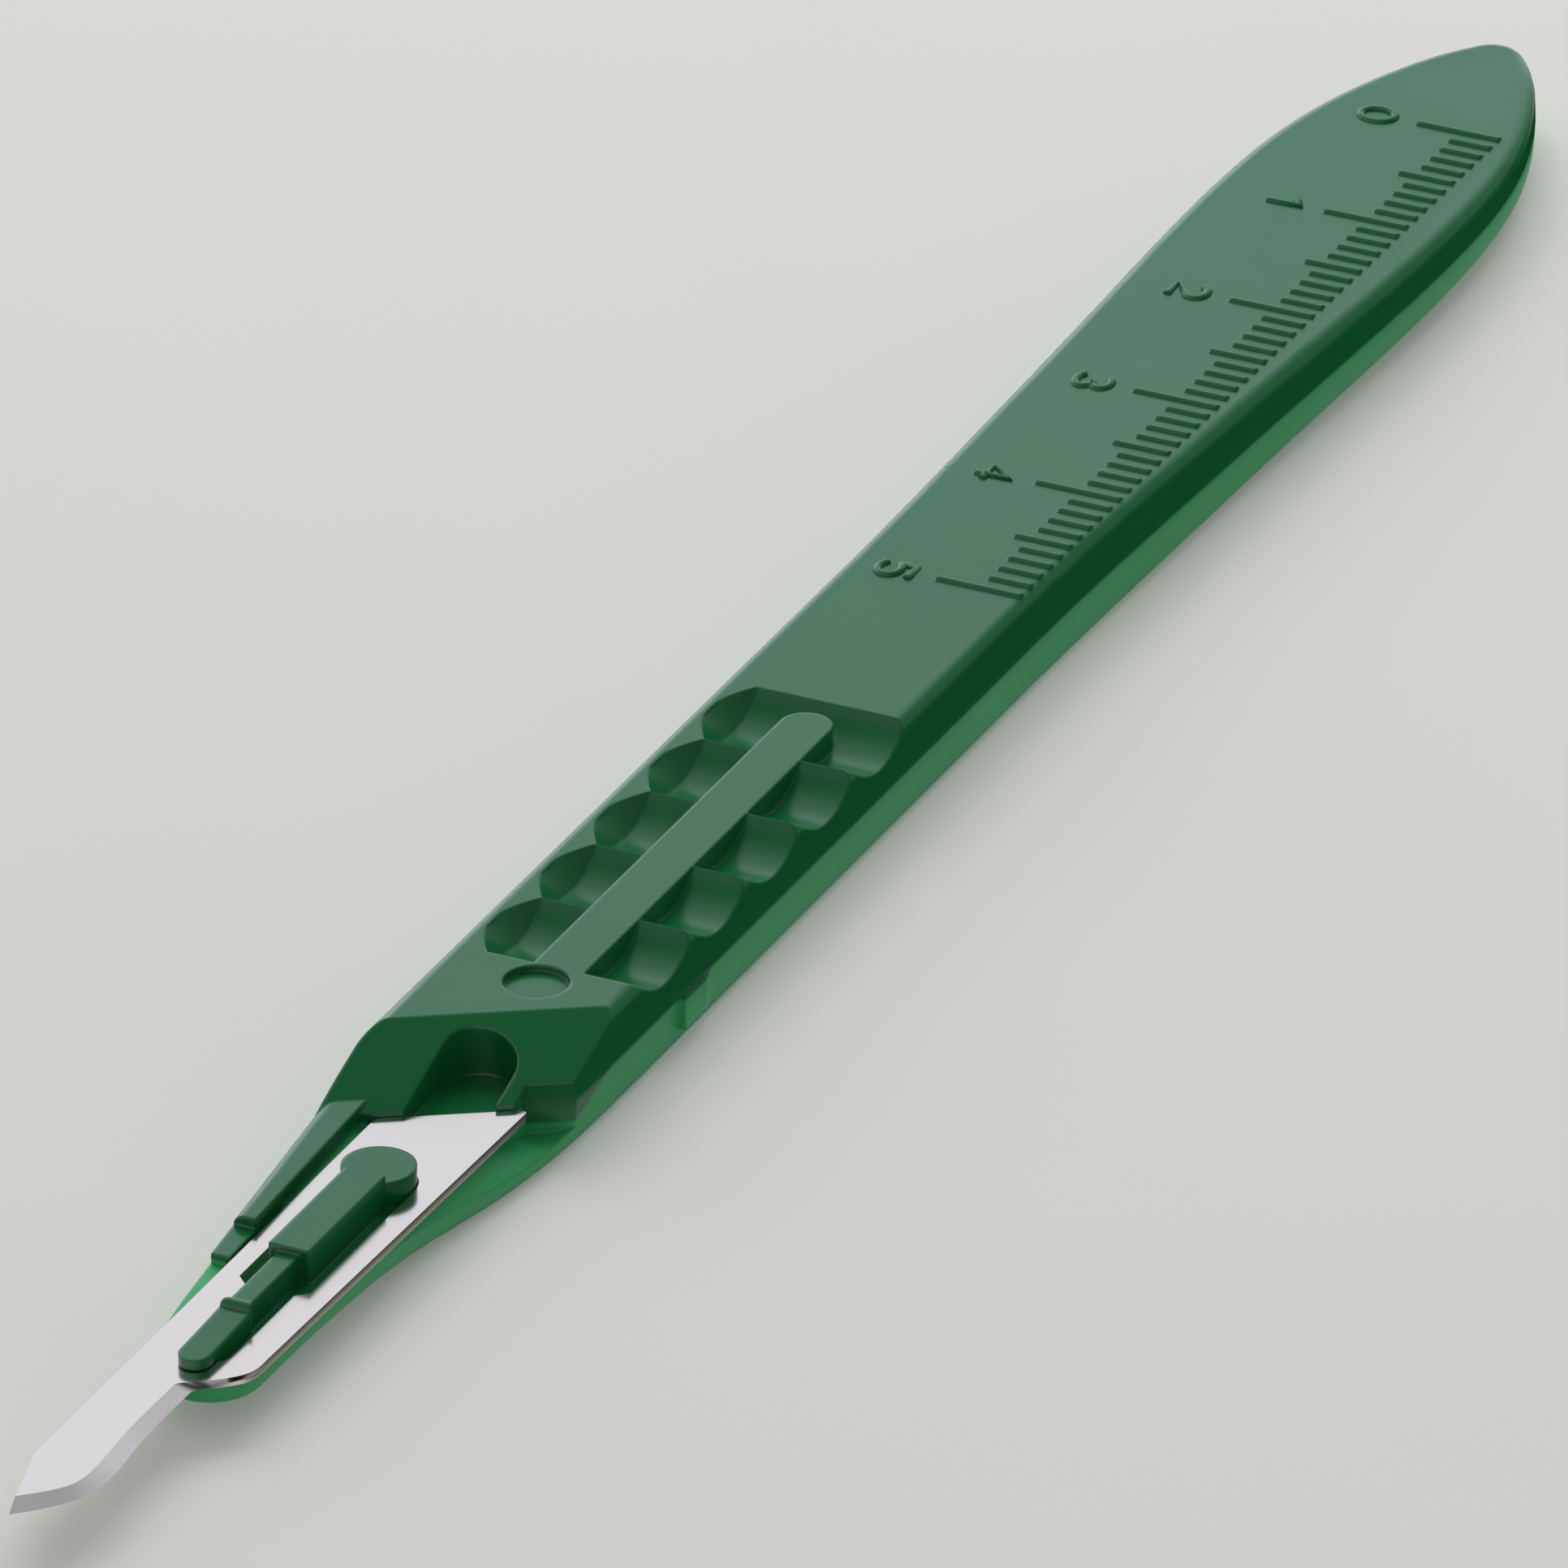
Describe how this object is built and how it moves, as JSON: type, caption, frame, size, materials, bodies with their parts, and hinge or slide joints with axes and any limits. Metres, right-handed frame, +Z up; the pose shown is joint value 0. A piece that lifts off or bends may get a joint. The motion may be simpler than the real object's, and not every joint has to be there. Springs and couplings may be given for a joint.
{
  "type": "disposable scalpel",
  "caption": "Slim moulded plastic handle with scalloped thumb grips and a raised centimetre scale, carrying a small curved surgical blade on its skewed nose.",
  "frame": {"origin": "middle of the base, under the middle of the overall length", "axes": "+X along the scalpel from the rounded rear end to the blade tip, +Y towards the cutting edge, +Z up out of the face that carries the scale"},
  "size_m": [0.1432, 0.0118, 0.0048],
  "materials": {
    "moulded_plastic": "satin moulded green plastic",
    "ground_steel": "ground and polished stainless steel"
  },
  "bodies": {
    "root": {"handle": "moulded_plastic", "blade": "ground_steel"}
  },
  "joints": []
}
